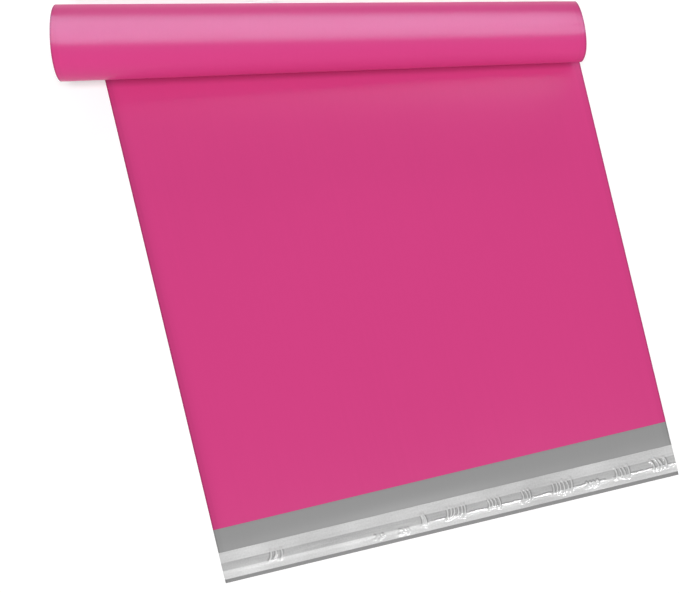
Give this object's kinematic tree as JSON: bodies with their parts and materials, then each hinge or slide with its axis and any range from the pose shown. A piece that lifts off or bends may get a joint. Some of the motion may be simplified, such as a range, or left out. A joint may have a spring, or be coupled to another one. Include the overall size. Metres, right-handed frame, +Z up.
{
  "type": "poly mailer bag",
  "caption": "Pink poly mailer bag lying flat, its closed end rolled up over the front panel, the flap open with an adhesive ribbon under a silver release liner.",
  "frame": {"origin": "on the table, at the middle of the part's footprint", "axes": "+X along the line where the roll leaves the table, +Y from the flap towards the roll, +Z up; the bag is turned 12 degrees about Z against these axes"},
  "size_m": [0.4524, 0.4298, 0.0562],
  "materials": {
    "bag_film": "satin co-extruded film, pink outside and grey inside",
    "adhesive": "clear hot-melt adhesive over the grey film",
    "release_liner": "silvery translucent film, glossy and finely wrinkled"
  },
  "bodies": {
    "root": {"bag": "bag_film", "adhesive_strip": "adhesive", "release_liner": "release_liner"}
  },
  "joints": []
}
